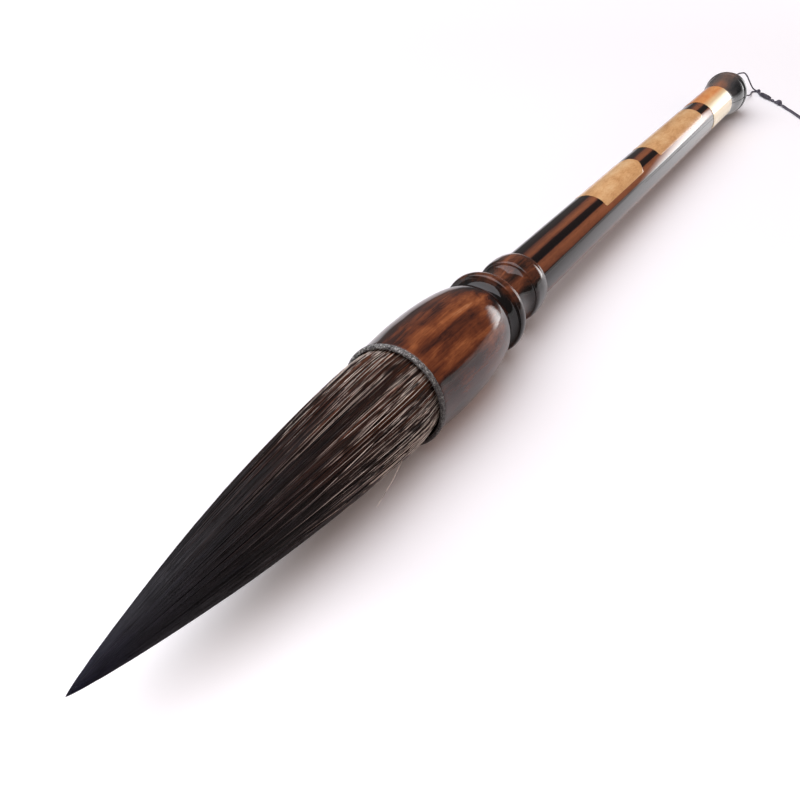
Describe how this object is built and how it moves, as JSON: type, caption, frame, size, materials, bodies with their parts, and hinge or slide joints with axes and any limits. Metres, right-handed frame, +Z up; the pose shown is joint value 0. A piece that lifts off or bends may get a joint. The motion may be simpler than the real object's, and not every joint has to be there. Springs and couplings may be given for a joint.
{
  "type": "calligraphy brush",
  "caption": "Large calligraphy brush: pointed hair head in a ringed wooden cup, beaded collar, straight striped handle, flared end cap and a knotted hanging cord.",
  "frame": {"origin": "on the table under the middle of the brush, measured without the hanging cord", "axes": "+X along the brush from the hair tip towards the end cap, +Z up, the brush lying on its ferrule cup and its cap rim"},
  "size_m": [0.4385, 0.0803, 0.0303],
  "materials": {
    "hair": "satin",
    "hair_core": "matte",
    "thread": "matte",
    "resin": "gloss",
    "horn_ring": "matte",
    "cup_wood": "gloss",
    "collar_wood": "gloss",
    "handle_wood": "gloss",
    "cap_wood": "gloss",
    "cord": "matte"
  },
  "bodies": {
    "root": {"hair_quarter_1": "hair", "hair_quarter_2": "hair", "hair_quarter_3": "hair", "hair_quarter_4": "hair", "hair_core": "hair_core", "root_binding": "thread", "root_plug": "resin", "mouth_ring": "horn_ring", "ferrule_cup": "cup_wood", "collar": "collar_wood", "handle_shaft": "handle_wood", "end_cap": "cap_wood", "cord_stopper_knot": "cord", "cord_leg_left": "cord", "cord_leg_right": "cord", "cord_first_knot": "cord", "cord_front_pair": "cord", "cord_whipping": "cord", "cord_rear_pair": "cord", "cord_slide_knot": "cord", "cord_loop": "cord"}
  },
  "joints": []
}
